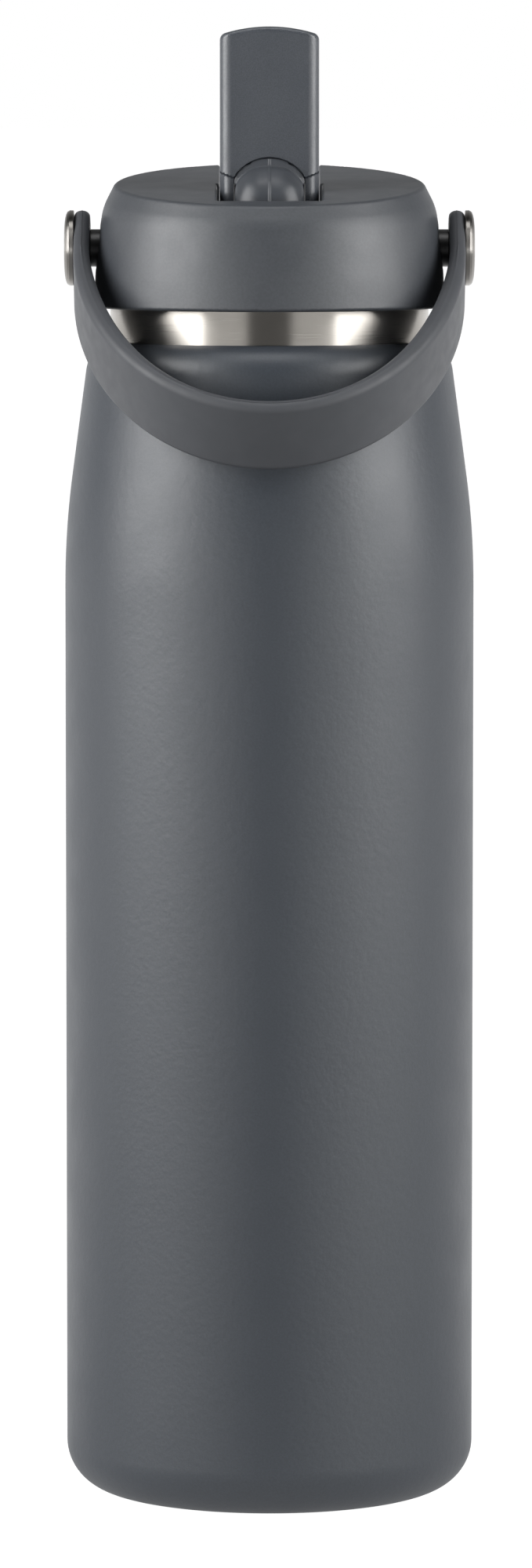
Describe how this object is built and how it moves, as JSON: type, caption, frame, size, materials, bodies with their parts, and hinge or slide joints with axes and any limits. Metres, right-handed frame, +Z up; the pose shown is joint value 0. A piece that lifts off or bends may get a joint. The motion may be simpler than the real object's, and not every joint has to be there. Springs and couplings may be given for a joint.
{
  "type": "insulated water bottle",
  "caption": "Double-wall insulated steel water bottle with a screw lid, a flip-up straw spout and a swinging strap handle.",
  "frame": {"origin": "centre of the flat base", "axes": "+Z up the bottle's axis, -Y towards the side that the handle hangs on, the handle pivots lie along X"},
  "size_m": [0.0736, 0.0825, 0.264],
  "materials": {
    "slate_coat": "fine powder coat, satin",
    "bare_steel": "turned and brushed",
    "grey_plastic": "fine moulded grain",
    "grey_silicone": "smooth silicone with a mould line",
    "strap_rubber": "soft matte",
    "black_plastic": "matte",
    "clear_plastic": "translucent",
    "white_foam": "closed-cell foam"
  },
  "bodies": {
    "vessel": {"outer_shell": "slate_coat", "neck_ring": "bare_steel", "inner_liner": "bare_steel", "outer_base": "bare_steel", "base_cover": "bare_steel", "vacuum_seal": "bare_steel", "getter": "bare_steel"},
    "gasket": {"lid_gasket": "grey_silicone"},
    "lid": {"lid_cap": "grey_plastic", "lid_plug": "grey_plastic", "lid_foam": "white_foam", "straw": "clear_plastic", "vent_valve": "grey_silicone", "flex_elbow": "grey_silicone", "spout_pin_left": "bare_steel", "spout_pin_right": "bare_steel", "pivot_post_left": "black_plastic", "pivot_post_right": "black_plastic", "rivet_left": "bare_steel", "rivet_right": "bare_steel"},
    "spout": {"spout_shell": "grey_plastic", "mouthpiece": "grey_silicone"},
    "handle": {"handle_strap": "strap_rubber"}
  },
  "joints": [
    {"name": "lid_rise", "type": "slide", "parent": "vessel", "child": "gasket", "axis": [0, 0, 1], "range_m": [0, 0.00501]},
    {"name": "lid_turn", "type": "hinge", "parent": "gasket", "child": "lid", "pos_m": [0, 0, 0.217], "axis": [0, 0, 1], "range_deg": [0, 450]},
    {"name": "spout_fold", "type": "hinge", "parent": "lid", "child": "spout", "pos_m": [0, -0.0056, 0.23017], "axis": [-1, 0, 0], "range_deg": [0, 83], "deforming": ["flex_elbow"]},
    {"name": "handle_swing", "type": "hinge", "parent": "lid", "child": "handle", "pos_m": [0, 0, 0.2245], "axis": [-1, 0, 0], "range_deg": [0, 255]}
  ],
  "couplings": [
    {"joint": "lid_rise", "follows": "lid_turn", "m_per_rad": 0.00063662}
  ]
}
